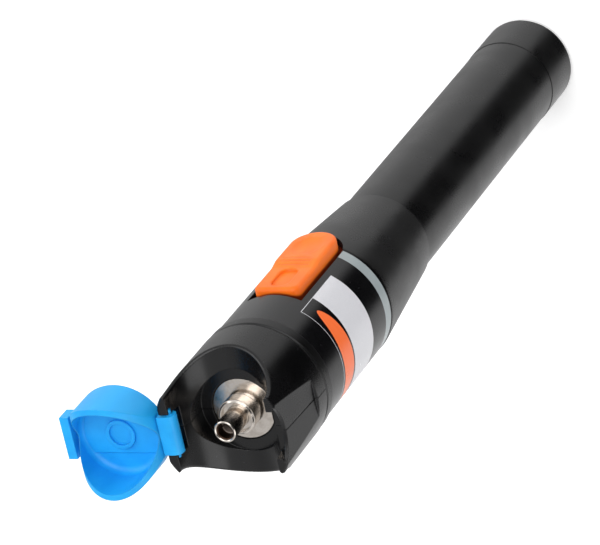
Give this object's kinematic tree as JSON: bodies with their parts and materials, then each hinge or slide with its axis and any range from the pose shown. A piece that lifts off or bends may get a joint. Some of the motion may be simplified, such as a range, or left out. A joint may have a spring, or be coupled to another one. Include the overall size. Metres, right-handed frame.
{
  "type": "visual fault locator",
  "caption": "Pen-shaped visual fault locator on its tail cap, with a slide switch, ferrule port and hinged dust cap.",
  "frame": {"origin": "centre of the tail cap's end face, on which the pen stands", "axes": "+Z along the pen towards the ferrule port, -Y towards the slide switch, +X towards the dust cap's hinge"},
  "size_m": [0.0442, 0.0268, 0.1735],
  "materials": {
    "black_metal": "satin black anodised aluminium",
    "seal_rubber": "matte black rubber",
    "plated_steel": "bright plating",
    "spring_steel": "drawn steel",
    "cell_skin": "plain shrink sleeve",
    "label_film": "gloss printed film in plain fields",
    "orange_plastic": "moulded orange plastic",
    "black_plastic": "moulded black plastic",
    "circuit_board": "green solder mask",
    "nickel": "turned and nickel plated",
    "white_ceramic": "white zirconia",
    "brass": "turned brass",
    "clear_glass": "clear lens",
    "black_head": "satin black",
    "blue_plastic": "moulded blue plastic"
  },
  "bodies": {
    "pen": {"battery_tube": "black_metal", "rear_cell": "cell_skin", "front_cell": "cell_skin", "front_barrel": "black_metal", "label_wrap": "label_film", "slide_switch": "plated_steel", "positive_contact": "plated_steel", "contact_holder": "black_plastic", "driver_board": "circuit_board", "board_parts": "black_plastic", "connector_body": "nickel", "connector_tube": "nickel", "ceramic_sleeve": "white_ceramic", "laser_housing": "brass", "laser_diode": "plated_steel", "focus_lens": "clear_glass", "head_shell_upper": "black_head", "head_shell_lower": "black_head", "shell_screws": "spring_steel"},
    "knob": {"switch_knob": "orange_plastic", "switch_lever": "black_plastic"},
    "cap": {"dust_cap": "blue_plastic"},
    "seal": {"tail_seal": "seal_rubber"},
    "tail": {"tail_cap": "black_metal", "tail_spring": "spring_steel", "tail_contact": "plated_steel"}
  },
  "joints": [
    {"name": "knob_slide", "type": "slide", "parent": "pen", "child": "knob", "axis": [0, 0, 1], "range_m": [-0.001, 0.001]},
    {"name": "cap_hinge", "type": "hinge", "parent": "pen", "child": "cap", "pos_m": [0.0102, 0, 0.165], "axis": [0, 1, 0], "range_deg": [-180, 0]},
    {"name": "tail_travel", "type": "slide", "parent": "pen", "child": "seal", "axis": [0, 0, 1], "range_m": [-0.004, 0]},
    {"name": "tail_turn", "type": "hinge", "parent": "seal", "child": "tail", "pos_m": [0, 0, 0], "axis": [0, 0, 1], "range_deg": [0, 1440]}
  ],
  "couplings": [
    {"joint": "tail_turn", "follows": "tail_travel", "rad_per_m": -6283.2}
  ]
}
